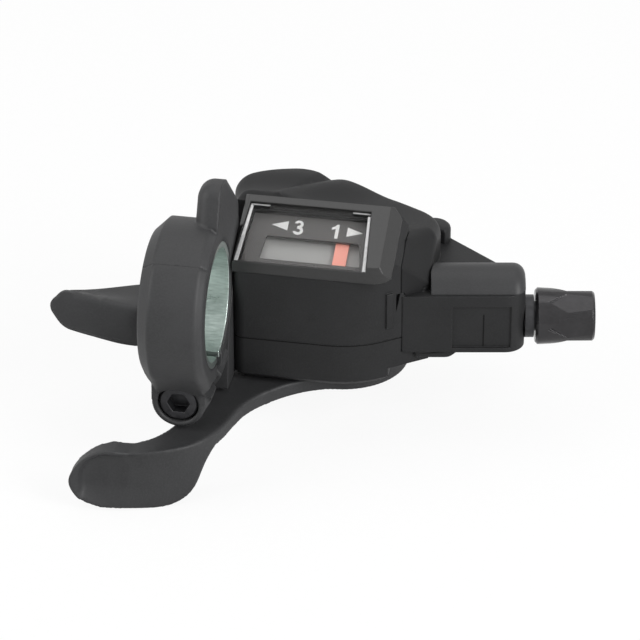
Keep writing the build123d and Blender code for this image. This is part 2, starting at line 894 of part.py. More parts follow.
# Needle: flag under the dial's slot, on a rack that the drum's gear drives
flag_top = -bezel_thickness - dial_thickness - needle_gap
rack_line = pivot_y - gear_radius
rack_root = rack_line - gear_dedendum
with BuildPart() as indicator_needle:
    with BuildSketch(Plane.XY.offset(drum_top)):
        with Locations((needle_position, needle_stem_near)):
            Rectangle(needle_width, needle_stem_depth, align=(Align.CENTER, Align.MIN))
    extrude(amount=drum_top_drop + lug_height)
    split(bisect_by=window_plane.offset(flag_top), keep=Keep.BOTTOM)
    with BuildSketch(window_plane.offset(flag_top - needle_thickness)):
        with Locations((needle_position - window_centre, needle_near)):
            Rectangle(needle_width, needle_length, align=(Align.CENTER, Align.MIN))
    extrude(amount=needle_thickness)
    with BuildSketch(Plane.XY.offset(drum_top)):
        with Locations((needle_position, needle_stem_near)):
            Rectangle(needle_width, rack_root - needle_stem_near, align=(Align.CENTER, Align.MIN))
        with Locations((pivot_x - gear_pitch / 2, rack_back)):
            Rectangle(rack_teeth * gear_pitch, rack_root - rack_back, align=(Align.MIN, Align.MIN))
        for k in range(rack_teeth):
            with Locations((pivot_x + k * gear_pitch, rack_root)):
                Trapezoid(
                    gear_tooth + gear_dedendum * tooth_taper,
                    gear_dedendum + gear_addendum,
                    tooth_flank,
                    align=(Align.CENTER, Align.MIN),
                )
    extrude(amount=gear_thickness)

# Bridge plate: steel plate on the posts, which holds the axle over the drum
with BuildPart() as bridge_plate:
    with BuildSketch(Plane.XY.offset(bridge_bottom)):
        add(case_inside.sketch)
        offset(amount=-bridge_gap, kind=Kind.INTERSECTION)
        with Locations((bridge_arm, bridge_near)):
            Rectangle(case_right, case_far, align=(Align.MIN, Align.MAX), mode=Mode.SUBTRACT)
        with Locations(pivot):
            Circle(axle_diameter / 2 + axle_gap, mode=Mode.SUBTRACT)
    extrude(amount=bridge_thickness)

# Axle, washer and nut
washer_top = lever_bottom - stack_gap
nut_top = washer_top - washer_thickness
axle_bottom = nut_top - axle_nut_height - axle_thread_end
with BuildPart() as pivot_axle:
    with BuildSketch(Plane.XY.offset(axle_bottom)):
        with Locations(pivot):
            Circle(axle_diameter / 2)
    extrude(amount=bridge_bottom + bridge_thickness - axle_bottom)
    chamfer(pivot_axle.faces().sort_by(Axis.Z)[0].edges(), length=axle_chamfer)
    with BuildSketch(Plane.XY.offset(bridge_bottom)):
        with Locations(pivot):
            Circle(axle_flange_diameter / 2)
    extrude(amount=-axle_flange_height)

with BuildPart() as axle_washer:
    with BuildSketch(Plane.XY.offset(washer_top)):
        with Locations(pivot):
            Circle(washer_diameter / 2)
            Circle(axle_diameter / 2 + axle_gap, mode=Mode.SUBTRACT)
    extrude(amount=-washer_thickness)

with BuildPart() as axle_nut:
    with BuildSketch(Plane.XY.offset(nut_top)):
        with Locations(pivot):
            RegularPolygon(axle_nut_width / 2, 6, major_radius=False)
            Circle(axle_diameter / 2 + axle_gap, mode=Mode.SUBTRACT)
    extrude(amount=-axle_nut_height)

# Drum: cable groove below, rack gear on top
with BuildPart() as cable_drum:
    with BuildSketch(Plane(origin=(pivot_x, pivot_y, -cable_drop), x_dir=(1, 0, 0), z_dir=(0, -1, 0))):
        with BuildLine():
            Polyline(
                (axle_diameter / 2 + axle_gap, drum_bottom + cable_drop),
                (drum_flange_radius, drum_bottom + cable_drop),
                (drum_flange_radius, -groove_width / 2),
                (drum_groove_radius, -groove_floor / 2),
                (drum_groove_radius, groove_floor / 2),
                (drum_flange_radius, groove_width / 2),
                (drum_flange_radius, drum_top + cable_drop),
                (axle_diameter / 2 + axle_gap, drum_top + cable_drop),
                close=True,
            )
        make_face()
    revolve(axis=Axis((pivot_x, pivot_y, 0), (0, 0, 1)))
    with BuildSketch(Plane.XY.offset(drum_top)):
        with Locations(pivot):
            Circle(gear_radius - gear_dedendum)
        for k in range(gear_teeth):
            turn = (k + 0.5) * 360 / gear_teeth - 90
            with Locations(Location((*around(gear_radius - 2 * gear_dedendum, turn), 0), turn - 90)):
                Trapezoid(
                    gear_tooth + 2 * gear_dedendum * tooth_taper,
                    2 * gear_dedendum + gear_addendum,
                    tooth_flank,
                    align=(Align.CENTER, Align.MIN),
                )
        with Locations(pivot):
            Circle(axle_diameter / 2 + axle_gap, mode=Mode.SUBTRACT)
    extrude(amount=gear_thickness)

# Ratchet wheel under the drum, one tooth for each click
with BuildPart() as ratchet_wheel:
    with BuildSketch(Plane.XY.offset(ratchet_bottom)):
        with Locations(pivot):
            Circle(ratchet_radius)
        for k in range(360 // click_angle):
            gap_end = pawl_angle + ratchet_tooth_lead + k * click_angle
            gap_start = gap_end - click_angle + ratchet_tooth_angle
            with BuildLine():
                Polyline(
                    around(ratchet_radius + ratchet_tooth_depth, gap_start),
                    around(ratchet_radius - ratchet_tooth_depth, gap_start),
                    around(ratchet_radius - ratchet_tooth_depth, gap_end - ratchet_tooth_rake),
                    around(ratchet_radius + ratchet_tooth_depth, gap_end + ratchet_tooth_rake),
                    close=True,
                )
            make_face(mode=Mode.SUBTRACT)
        with Locations(pivot):
            Circle(axle_diameter / 2 + axle_gap, mode=Mode.SUBTRACT)
    extrude(amount=ratchet_thickness)

# Carrier on the lever's sleeve, with the pawl that pulls the ratchet round
with BuildPart() as lever_carrier:
    with BuildSketch(Plane.XY.offset(carrier_bottom)):
        with Locations(pivot):
            Circle(carrier_hub_radius)
        with Locations(around(pawl_pin_radius, pawl_angle)):
            Circle(carrier_end_radius)
        make_hull()
        with Locations(around(pawl_pin_radius, pawl_angle)):
            Circle(pawl_pin_diameter / 2 + pin_seat_gap, mode=Mode.SUBTRACT)
        with Locations(pivot):
            Circle(spigot_radius + axle_gap, mode=Mode.SUBTRACT)
        for side in (-1, 1):
            with Locations((pivot_x, pivot_y + side * (spigot_flat / 2 + axle_gap))):
                Rectangle(2 * spigot_radius, spigot_radius - spigot_flat / 2,
                          align=(Align.CENTER, Align.MIN if side > 0 else Align.MAX))
    extrude(amount=carrier_thickness)

with BuildPart() as drive_pawl_pin:
    with BuildSketch(Plane.XY.offset(carrier_bottom)):
        with Locations(around(pawl_pin_radius, pawl_angle)):
            Circle(pawl_pin_diameter / 2)
    extrude(amount=ratchet_top - carrier_bottom)

with BuildPart() as drive_pawl:
    with BuildSketch(Plane.XY.offset(ratchet_top - pawl_thickness)):
        with Locations(around(pawl_pin_radius, pawl_angle)):
            Circle(pawl_eye_radius)
        with Locations(around(pawl_clear_radius, pawl_angle - pawl_nose_angle)):
            Circle(pawl_nose_radius)
        make_hull()
        with Locations(around(pawl_pin_radius, pawl_angle)):
            Circle(pawl_pin_diameter / 2 + axle_gap, mode=Mode.SUBTRACT)
    extrude(amount=pawl_thickness)

# Pawl that holds the ratchet, on a pin in the floor
with BuildPart() as holding_pawl_pin:
    with BuildSketch(Plane.XY.offset(floor_top - pin_seat)):
        with Locations(around(pawl_pin_radius, holding_angle)):
            Circle(pawl_pin_diameter / 2)
    extrude(amount=ratchet_top - floor_top + pin_seat)

with BuildPart() as holding_pawl:
    with BuildSketch(Plane.XY.offset(ratchet_top - pawl_thickness)):
        with Locations(around(pawl_pin_radius, holding_angle)):
            Circle(pawl_eye_radius)
        with Locations(around(pawl_clear_radius, holding_angle - pawl_nose_angle)):
            Circle(pawl_nose_radius)
        make_hull()
    extrude(amount=pawl_thickness)
    with BuildSketch(Plane.XY.offset(ratchet_top - pawl_thickness)):
        with Locations(around(pawl_pin_radius, holding_angle)):
            Circle(pawl_eye_radius)
        with Locations(around(pawl_pin_radius, holding_angle + pawl_nose_angle)):
            Circle(pawl_tail_radius)
        make_hull()
    extrude(amount=pawl_thickness)
    with BuildSketch(Plane.XY.offset(ratchet_top - pawl_thickness)):
        with Locations(around(pawl_pin_radius, holding_angle)):
            Circle(pawl_pin_diameter / 2 + axle_gap)
    extrude(amount=pawl_thickness, mode=Mode.SUBTRACT)

# Springs: half circles on two centres, each wider than the last
with BuildPart() as drum_spring:
    with BuildSketch(Plane.XY.offset(gear_top + stack_gap)):
        with BuildLine():
            for k in range(spring_half_turns):
                CenterArc(
                    (pivot_x + k % 2 * drum_spring_step, pivot_y),
                    drum_spring_radius + k * drum_spring_step,
                    k % 2 * 180,
                    180,
                )
        trace(line_width=drum_spring_strip)
    extrude(amount=drum_spring_height)

with BuildPart() as lever_spring:
    with BuildSketch(Plane.XY.offset(lever_top - lever_pocket_depth + stack_gap)):
        with BuildLine():
            for k in range(spring_half_turns):
                CenterArc(
                    (pivot_x + k % 2 * lever_spring_step, pivot_y),
                    lever_spring_radius + k * lever_spring_step,
                    k % 2 * 180,
                    180,
                )
        trace(line_width=lever_spring_wire)
    extrude(amount=lever_spring_wire)

with BuildPart() as release_spring:
    with BuildSketch(Plane.XY.offset(floor_top)):
        with BuildLine():
            for k in range(spring_half_turns):
                CenterArc(
                    (pivot_x + k % 2 * release_spring_step, pivot_y),
                    release_spring_radius + k * release_spring_step,
                    k % 2 * 180,
                    180,
                )
        trace(line_width=release_spring_wire)
    extrude(amount=release_spring_wire)

# Main lever: hub and arm under the case, thumb paddle, and a sleeve up to the carrier
with BuildPart() as main_lever:
    with BuildSketch(above(2 * base_drop)):
        with BuildLine():
            Spline(*lever_near_edge)
            Line(lever_near_edge[-1], lever_far_edge[0])
            Spline(*lever_far_edge)
            Line(lever_far_edge[-1], lever_near_edge[0])
        make_face()
    extrude(amount=2 * base_drop)
    with BuildSketch(Plane.XZ.offset(-case_far)):
        with BuildLine():
            Polyline(
                paddle_edge[-1],
                (paddle_neck, lever_top),
                (case_right, lever_top),
                (case_right, lever_bottom),
                (paddle_edge[0][0], lever_bottom),
                paddle_edge[0],
            )
            Spline(*paddle_edge)
        make_face()
    extrude(amount=2 * case_far, mode=Mode.INTERSECT)
    with BuildSketch(above(2 * base_drop)):
        with BuildLine():
            Spline(*paddle_back)
            Polyline(
                paddle_back[-1],
                (paddle_back[-1][0], case_far),
                (paddle_back[0][0], case_far),
                paddle_back[0],
            )
        make_face()
    extrude(amount=2 * base_drop + lever_bottom, mode=Mode.SUBTRACT)
    dish_x, dish_y, dish_z = dish_place
    with Locations((dish_x, dish_y + dish_depth - dish_radius, dish_z)):
        Sphere(dish_radius, mode=Mode.SUBTRACT)
    with BuildSketch(Plane.XY.offset(lever_bottom)):
        with Locations(pivot):
            Circle(lever_hub_radius)
    extrude(amount=lever_thickness)
    with BuildSketch(Plane.XY.offset(lever_top - lever_pocket_depth)):
        with Locations(pivot):
            Circle(lever_pocket_radius)
    extrude(amount=lever_pocket_depth, mode=Mode.SUBTRACT)
    with BuildSketch(Plane.XY.offset(lever_bottom)):
        with Locations(pivot):
            Circle(sleeve_radius)
    extrude(amount=carrier_bottom - lever_bottom)
    with BuildSketch(Plane.XY.offset(carrier_bottom)):
        with Locations(pivot):
            Circle(spigot_radius)
            Rectangle(2 * spigot_radius, spigot_flat, mode=Mode.INTERSECT)
    extrude(amount=carrier_thickness)
    with BuildSketch(Plane.XY.offset(lever_bottom)):
        with Locations(pivot):
            Circle(axle_diameter / 2 + axle_gap)
    extrude(amount=carrier_top - lever_bottom, mode=Mode.SUBTRACT)

# Release trigger: finger horn beyond the clamp, arm, and a hub on the lever's sleeve
with BuildPart() as release_lever:
    with BuildSketch(above(horn_bottom_drop)):
        with BuildLine():
            Polyline((horn_right, horn_near), (horn_right, horn_root_back))
            Spline(
                (horn_right, horn_root_back),
                ((horn_right + horn_tip) / 2, (horn_root_back + horn_tip_back) / 2),
                (horn_tip, horn_tip_back),
            )
            Line((horn_tip, horn_tip_back), (horn_tip, horn_tip_back - horn_round))
            ThreePointArc(
                (horn_tip, horn_tip_back - horn_round),
                ((horn_right + horn_tip) / 2, horn_near),
                (horn_right, horn_near),
            )
        make_face()
    extrude(amount=horn_bottom_drop - horn_top_drop)
    with BuildSketch(Plane.XZ.offset(-horn_root_back)):
        with BuildLine():
            FilletPolyline(
                (horn_right, -horn_bottom_drop),
                (horn_right, -horn_root_drop),
                (horn_crest, -horn_top_drop),
                (horn_tip, -horn_tip_drop),
                (horn_heel, -horn_heel_drop),
                (horn_right - horn_gusset, -horn_bottom_drop),
                radius=[0, horn_tip_round, horn_tip_round, horn_heel_round],
            )
            Line((horn_right - horn_gusset, -horn_bottom_drop), (horn_right, -horn_bottom_drop))
        make_face()
    extrude(amount=horn_root_back, mode=Mode.INTERSECT)
    with BuildSketch(above(horn_bottom_drop)):
        with BuildLine():
            Polyline(
                (horn_right - horn_gusset, horn_near + horn_wall),
                (horn_right - horn_gusset, 2 * horn_root_back),
                (2 * horn_tip, 2 * horn_root_back),
                (horn_tip, horn_near + 2 * horn_wall),
                close=True,
            )
        make_face()
    extrude(amount=horn_bottom_drop - horn_root_drop - horn_web, mode=Mode.SUBTRACT)
    with BuildSketch(Plane.XY.offset(release_bottom)):
        with BuildLine():
            FilletPolyline(
                pivot,
                release_arm_far,
                release_arm_far_end,
                release_arm_end,
                release_arm_near,
                release_arm_root,
                around(release_hub_radius, -90),
                radius=[
                    release_arm_round,
                    release_end_round,
                    release_end_round,
                    release_arm_round,
                    release_arm_round,
                ],
            )
            Line(around(release_hub_radius, -90), pivot)
        make_face()
        with Locations(pivot):
            Circle(release_hub_radius)
            Circle(sleeve_radius + axle_gap, mode=Mode.SUBTRACT)
    extrude(amount=release_thickness)

# Outlet cap: rounded lid over the cable outlet
with BuildPart() as outlet_cap:
    with BuildSketch(across_plane(cap_start)):
        with Locations((cable_offset, -cap_centre_drop)):
            Circle(cap_radius)
        with Locations((cable_offset, -outlet_split)):
            Rectangle(4 * cap_radius, 4 * cap_radius, align=(Align.CENTER, Align.MAX), mode=Mode.SUBTRACT)
    extrude(amount=outlet_end - cap_start)
    with BuildSketch(above(outlet_split)):
        add(case_outline.sketch)
    extrude(amount=outlet_split, mode=Mode.SUBTRACT)
    end_face = outlet_cap.faces().sort_by(cable_axis)[-1]
    fillet(end_face.edges().filter_by(GeomType.CIRCLE), radius=cap_end_round)

# Cable adjuster: a stem in the outlet, and a barrel that turns on it
stem_end = outlet_end + collar_length + barrel_gap + stem_reach
barrel_start = outlet_end + collar_length + barrel_gap
barrel_end = barrel_start + barrel_length
with BuildPart() as adjuster_stem:
    with BuildSketch(cable_plane):
        with BuildLine():
            Polyline(
                (outlet_end - stem_depth, cable_bore_radius),
                (outlet_end - stem_depth, stem_radius),
                (outlet_end, stem_radius),
                (outlet_end, collar_radius),
                (outlet_end + collar_length, collar_radius),
                (outlet_end + collar_length, stem_radius),
                (stem_end, stem_radius),
                (stem_end, cable_bore_radius),
                close=True,
            )
        make_face()
    revolve(axis=cable_axis)

with BuildPart() as adjuster_barrel:
    with BuildSketch(cable_plane):
        with BuildLine():
            Polyline(
                (barrel_start, stem_radius + axle_gap),
                (barrel_start, barrel_radius - barrel_edge),
                (barrel_start + barrel_edge, barrel_radius),
                (barrel_end - barrel_edge, barrel_tip_radius),
                (barrel_end, barrel_tip_radius - barrel_edge),
                (barrel_end, casing_radius),
                (barrel_end - casing_depth, casing_radius),
                (barrel_end - casing_depth, cable_bore_radius),
                (stem_end + stack_gap, cable_bore_radius),
                (stem_end + stack_gap, stem_radius + axle_gap),
                close=True,
            )
        make_face()
    revolve(axis=cable_axis)
    for k in range(barrel_grips):
        turn = radians(k * 360 / barrel_grips)
        outward = (-turn_sin * cos(turn), turn_cos * cos(turn), sin(turn))
        seat = cable_plane.from_local_coords((barrel_start, 0, 0))
        grip_plane = Plane(origin=seat, x_dir=cable_plane.x_dir, z_dir=outward)
        with BuildSketch(grip_plane.offset(barrel_radius - grip_depth)):
            with BuildLine():
                Polyline(
                    (grip_start, 0),
                    (grip_full, grip_width / 2),
                    (barrel_length, grip_width / 2),
                    (barrel_length, -grip_width / 2),
                    (grip_full, -grip_width / 2),
                    close=True,
                )
            make_face()
        extrude(amount=2 * grip_depth, mode=Mode.SUBTRACT)

pieces = {
    "clamp_cover": clamp_cover,
    "clamp_shell": clamp_shell,
    "clamp_band": clamp_band,
    "clamp_bolt": clamp_bolt,
    "clamp_nut": clamp_nut,
    "upper_housing": upper_housing,
    "lower_housing": lower_housing,
    "case_screws": case_screws,
    "top_cover": top_cover,
    "indicator_bezel": indicator_bezel,
    "indicator_lens": indicator_lens,
    "indicator_dial": indicator_dial,
    "indicator_needle": indicator_needle,
    "bridge_plate": bridge_plate,
    "pivot_axle": pivot_axle,
    "axle_washer": axle_washer,
    "axle_nut": axle_nut,
    "cable_drum": cable_drum,
    "ratchet_wheel": ratchet_wheel,
    "lever_carrier": lever_carrier,
    "drive_pawl_pin": drive_pawl_pin,
    "drive_pawl": drive_pawl,
    "holding_pawl_pin": holding_pawl_pin,
    "holding_pawl": holding_pawl,
    "drum_spring": drum_spring,
    "lever_spring": lever_spring,
    "release_spring": release_spring,
    "main_lever": main_lever,
    "release_lever": release_lever,
    "outlet_cap": outlet_cap,
    "adjuster_stem": adjuster_stem,
    "adjuster_barrel": adjuster_barrel,
}
os.makedirs("parts", exist_ok=True)
for name, piece in pieces.items():
    piece.part.label = name
    export_step(piece.part, f"parts/{name}.step")
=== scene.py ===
import json
import math

import bmesh
import bpy
from mathutils import Matrix, Vector


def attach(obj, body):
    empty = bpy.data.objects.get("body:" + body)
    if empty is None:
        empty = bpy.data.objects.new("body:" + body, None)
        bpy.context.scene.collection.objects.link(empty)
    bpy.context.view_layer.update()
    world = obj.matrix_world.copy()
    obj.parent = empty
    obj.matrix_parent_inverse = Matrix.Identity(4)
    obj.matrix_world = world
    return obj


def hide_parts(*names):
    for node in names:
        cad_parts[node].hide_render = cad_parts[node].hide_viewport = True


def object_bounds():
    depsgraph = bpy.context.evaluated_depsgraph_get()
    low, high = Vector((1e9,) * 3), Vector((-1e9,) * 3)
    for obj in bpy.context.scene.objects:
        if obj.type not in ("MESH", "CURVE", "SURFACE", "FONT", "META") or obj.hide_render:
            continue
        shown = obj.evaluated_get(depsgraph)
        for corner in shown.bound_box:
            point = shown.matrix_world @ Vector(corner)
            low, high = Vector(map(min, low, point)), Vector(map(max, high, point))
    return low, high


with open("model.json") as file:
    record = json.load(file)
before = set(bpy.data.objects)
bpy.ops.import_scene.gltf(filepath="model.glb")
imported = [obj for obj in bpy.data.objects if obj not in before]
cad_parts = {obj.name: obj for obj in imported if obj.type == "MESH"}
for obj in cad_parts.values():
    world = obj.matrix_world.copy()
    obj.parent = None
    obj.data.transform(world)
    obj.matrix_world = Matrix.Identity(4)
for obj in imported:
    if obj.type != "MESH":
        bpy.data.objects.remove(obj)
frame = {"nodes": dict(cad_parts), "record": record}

MM = 0.001
nodes = frame["nodes"]
cad_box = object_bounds()
lowest = cad_box[0][2]
scene = bpy.context.scene


class Wire:
    """An output socket of a shader graph. Arithmetic on it adds Math nodes."""

    def __init__(self, graph, socket):
        self.graph = graph
        self.socket = socket

    def __add__(self, other):
        return self.graph.maths("ADD", self, other)

    def __sub__(self, other):
        return self.graph.maths("SUBTRACT", self, other)

    def __rsub__(self, other):
        return self.graph.maths("SUBTRACT", other, self)

    def __mul__(self, other):
        return self.graph.maths("MULTIPLY", self, other)

    __radd__ = __add__
    __rmul__ = __mul__

    def between(self, low, high):
        """0 below low, 1 above high, and a smooth step from one to the other."""
        settings = {"interpolation_type": "SMOOTHSTEP"}
        step = self.graph.node("MapRange", settings, {0: self, 1: low, 2: high})
        return Wire(self.graph, step.outputs[0])

    def spread(self):
        """Noise, which gathers about its middle, drawn out to the whole of 0 to 1."""
        return self.between(0.3, 0.7)


class Graph:
    """The node tree of a material or of the world."""

    def __init__(self, owner):
        self.owner = owner
        owner.use_nodes = True
        self.tree = owner.node_tree
        self.tree.nodes.clear()

    def feed(self, socket, value):
        if isinstance(value, Wire):
            value = value.socket
        if hasattr(value, "is_output"):
            self.tree.links.new(value, socket)
        elif isinstance(value, tuple) and len(value) == 3 and socket.type == "RGBA":
            socket.default_value = (*value, 1)
        else:
            socket.default_value = value

    def node(self, kind, settings=None, sockets=None):
        made = self.tree.nodes.new("ShaderNode" + kind)
        for key, value in (settings or {}).items():
            setattr(made, key, value)
        for key, value in (sockets or {}).items():
            self.feed(made.inputs[key], value)
        return made

    def maths(self, operation, first, second):
        made = self.node("Math", {"operation": operation}, {0: first, 1: second})
        return Wire(self, made.outputs[0])

    def place(self):
        """Where a point is on its piece, in metres."""
        return self.node("TexCoord").outputs["Object"]

    def stretched(self, scale):
        made = self.node("Mapping", {}, {"Vector": self.place(), "Scale": scale})
        return made.outputs[0]

    def noise(self, scale, detail, vector=None):
        sockets = {"Vector": vector or self.place(), "Scale": scale, "Detail": detail}
        return Wire(self, self.node("TexNoise", {}, sockets).outputs[0])

    def cells(self, scale):
        sockets = {"Vector": self.place(), "Scale": scale}
        return Wire(self, self.node("TexVoronoi", {}, sockets).outputs["Distance"])

    def soft_edges(self, radius):
        return self.node("Bevel", {"samples": 6}, {"Radius": radius}).outputs[0]

    def edges(self, radius):
        """Near 1 along the outer edges of a piece, and 0 on its faces."""
        flat = self.node("NewGeometry").outputs["Normal"]
        sockets = {0: self.soft_edges(radius), 1: flat}
        dot = self.node("VectorMath", {"operation": "DOT_PRODUCT"}, sockets)
        return (1 - Wire(self, dot.outputs["Value"])).between(0.02, 0.3)

    def mix(self, factor, low, high):
        made = self.node("Mix", {"data_type": "RGBA"}, {0: factor, 6: low, 7: high})
        return made.outputs[2]

    def bump(self, height, strength, depth, normal=None):
        sockets = {"Height": height, "Strength": strength, "Distance": depth * MM}
        if normal:
            sockets["Normal"] = normal
        return self.node("Bump", {}, sockets).outputs[0]

    def either(self, factor, first, second):
        """The first shader where the factor is 0, and the second where it is 1."""
        return self.node("MixShader", {}, {0: factor, 1: first, 2: second}).outputs[0]

    def surface(self, **sockets):
        """A Principled shader on the material's output; underscores stand for spaces."""
        named = {key.replace("_", " "): value for key, value in sockets.items()}
        return self.shown(self.node("BsdfPrincipled", {}, named).outputs[0])

    def shown(self, shader, output="OutputMaterial"):
        self.node(output, {}, {"Surface": shader})
        return self.owner


def finish(name):
    return Graph(bpy.data.materials.new(name))


def shade(grey, tint=(1.0, 1.0, 1.0)):
    return tuple(grey * t for t in tint)


PLASTIC_TINT = (1.0, 1.01, 1.05)
PLASTIC_EDGE = 0.35 * MM
METAL_EDGE = 0.2 * MM
GLOSS_EDGE = 0.3 * MM


def moulded(name, grey, rough, grain, depth, specular):
    """Moulded plastic: spark-eroded grain, faint cloudy tone, edges rubbed paler and smoother."""
    g = finish(name)
    cloud = g.noise(90, 3)
    fine = g.noise(grain, 3)
    pits = g.cells(grain * 0.8)
    rub = g.edges(PLASTIC_EDGE) * g.noise(700, 4).spread()
    dark, pale = (shade(grey * share, PLASTIC_TINT) for share in (0.86, 1.14))
    tone = g.mix(cloud.spread(), dark, pale)
    tone = g.mix(fine.between(0.35, 0.7) * 0.35, tone, shade(grey * 1.5, PLASTIC_TINT))
    tone = g.mix(rub * 0.55, tone, shade(grey * 2.4, PLASTIC_TINT))
    normal = g.bump(fine * 0.7 + pits * 0.3, 0.55, depth, g.soft_edges(PLASTIC_EDGE))
    roughness = rough + (fine - 0.5) * 0.16 + (cloud - 0.5) * 0.1 - rub * 0.1
    return g.surface(
        Base_Color=tone, Roughness=roughness, Specular_IOR_Level=specular, Normal=normal
    )


def plated(name, low, high, rough, streak, stretch, metallic=1.0, edge_tone=None):
    """Metal: fine streaks along one way, cloudy plating, bright rubbed edges."""
    g = finish(name)
    lines = g.noise(streak, 4, g.stretched(stretch))
    cloud = g.noise(160, 4)
    rub = g.edges(METAL_EDGE) * g.noise(900, 3).between(0.25, 0.6)
    tone = g.mix(lines.between(0.25, 0.75) * 0.6 + cloud.spread() * 0.4, low, high)
    tone = g.mix(rub * 0.7, tone, edge_tone or shade(1.25, high))
    normal = g.bump(lines * 0.6 + cloud * 0.4, 0.25, 0.03, g.soft_edges(METAL_EDGE))
    roughness = rough + (lines - 0.5) * 0.2 + (cloud - 0.5) * 0.12 - rub * 0.08
    return g.surface(Base_Color=tone, Roughness=roughness, Metallic=metallic, Normal=normal)


def polished(name, grey, rough, specular, coat):
    """Gloss plastic: even black with faint swirl marks and a clear skin."""
    g = finish(name)
    swirl = g.noise(1400, 5)
    dust = g.cells(2200).between(0.05, 0.12)
    rub = g.edges(GLOSS_EDGE)
    tone = g.mix(swirl.spread(), shade(grey * 0.93), shade(grey * 1.08))
    tone = g.mix(rub * 0.5, tone, shade(grey * 3.0))
    normal = g.bump(swirl, 0.015, 0.01, g.soft_edges(GLOSS_EDGE))
    roughness = rough + (swirl - 0.5) * 0.08 + (1 - dust) * 0.06
    return g.surface(
        Base_Color=tone, Roughness=roughness, Specular_IOR_Level=specular, Coat_Weight=coat,
        Normal=normal,
    )


def clear_lens():
    """A clear window, faintly smeared, that shines towards its edges."""
    g = finish("lens_clear")
    rough = 0.03 + g.noise(260, 4).between(0.45, 0.8) * 0.1
    clear = g.node("BsdfTransparent", {}, {"Color": (0.98, 0.98, 0.98)}).outputs[0]
    gloss = g.node("BsdfGlossy", {}, {"Color": (1.0, 1.0, 1.0), "Roughness": rough}).outputs[0]
    facing = Wire(g, g.node("LayerWeight", {}, {"Blend": 0.2}).outputs["Fresnel"])
    return g.shown(g.either(facing * 0.55, clear, gloss))


# The window's plane: heights and outlines on it are in mm from the middle of its near edge
WINDOW_SLOPE = math.radians(25.5)
WINDOW_FOOT = Vector((20.0 * MM, 12.0 * MM, 3.2 * MM))
window_frame = Matrix.Translation(WINDOW_FOOT) @ Matrix.Rotation(WINDOW_SLOPE, 4, "X")
LENS_FACE = 0.0
DIAL_FACE = -2.0


def printed_dial():
    """Warm grey print, with the paler tray seen through the slot."""
    g = finish("dial_print")
    on_window = g.node("Mapping", {"vector_type": "TEXTURE"}, {
        "Vector": g.place(), "Location": WINDOW_FOOT, "Rotation": (WINDOW_SLOPE, 0, 0),
    })
    height = Wire(g, g.node("SeparateXYZ", {}, {0: on_window.outputs[0]}).outputs[2])
    tray = 1 - height.between((DIAL_FACE - 0.75) * MM, (DIAL_FACE - 0.55) * MM)
    speck = g.noise(2600, 3)
    warm_grey = g.mix(speck.spread(), (0.058, 0.055, 0.053), (0.076, 0.072, 0.07))
    pale = g.mix(speck.spread(), (0.36, 0.36, 0.35), (0.42, 0.42, 0.41))
    return g.surface(
        Base_Color=g.mix(tray, warm_grey, pale),
        Roughness=0.5 + (speck - 0.5) * 0.2,
        Normal=g.bump(speck, 0.1, 0.02),
    )


def ink(name, low, high, rough=0.45, specular=0.5):
    """Thick print: even colour with a fine speck."""
    g = finish(name)
    speck = g.noise(3000, 3)
    return g.surface(
        Base_Color=g.mix(speck.spread(), low, high),
        Roughness=rough + (speck - 0.5) * 0.2,
        Specular_IOR_Level=specular,
        Normal=g.bump(speck, 0.12, 0.02),
    )


materials = {
    "black_plastic": moulded(
        "clamp_plastic", grey=0.026, rough=0.52, grain=2600, depth=0.05, specular=0.34
    ),
    "housing_plastic": moulded(
        "case_plastic", grey=0.0145, rough=0.5, grain=2800, depth=0.045, specular=0.2
    ),
    "lever_plastic": moulded(
        "lever_nylon", grey=0.028, rough=0.5, grain=2600, depth=0.045, specular=0.3
    ),
    "bezel_gloss": polished("bezel_black", grey=0.016, rough=0.32, specular=0.42, coat=0.1),
    "lens": clear_lens(),
    "dial_plate": printed_dial(),
    "needle_red": ink("needle_orange_red", (1.0, 0.33, 0.25), (1.0, 0.42, 0.33), rough=0.35),
    "zinc_band": plated(
        "zinc_plate", (0.46, 0.53, 0.50), (0.70, 0.77, 0.74),
        rough=0.32, streak=500, stretch=(1.0, 6.0, 6.0),
    ),
    "black_steel": plated(
        "black_oxide", (0.020, 0.020, 0.022), (0.045, 0.045, 0.048),
        rough=0.4, streak=900, stretch=(1.0, 1.0, 1.0), metallic=0.6, edge_tone=(0.16, 0.16, 0.17),
    ),
    "steel": plated(
        "stamped_steel", (0.42, 0.42, 0.43), (0.62, 0.62, 0.63),
        rough=0.36, streak=700, stretch=(1.0, 5.0, 1.0),
    ),
    "spring_steel": plated(
        "spring_wire", (0.34, 0.34, 0.36), (0.55, 0.55, 0.57),
        rough=0.3, streak=900, stretch=(1.0, 1.0, 6.0),
    ),
    "drum_plastic": moulded(
        "drum_acetal", grey=0.07, rough=0.42, grain=2000, depth=0.03, specular=0.5
    ),
    "barrel_metal": plated(
        "barrel_anodised", (0.022, 0.021, 0.022), (0.046, 0.045, 0.047),
        rough=0.2, streak=1200, stretch=(1.0, 8.0, 8.0), metallic=0.7,
        edge_tone=(0.055, 0.054, 0.056),
    ),
}
# Painted shade: a darker copy of the case plastic for the roof, to darken its upward-facing top
roof_plastic_painted_shade = moulded(
    "roof_plastic_painted_shade", grey=0.011, rough=0.52, grain=2800, depth=0.045, specular=0.16
)
# Painted light: a paler copy of the case plastic for the outlet cap, to brighten it as if more
# light fell on it
cap_plastic_painted_light = moulded(
    "cap_plastic_painted_light", grey=0.024, rough=0.46, grain=2800, depth=0.045, specular=0.3
)
white_ink = ink("white_print", (0.74, 0.74, 0.73), (0.84, 0.84, 0.83))
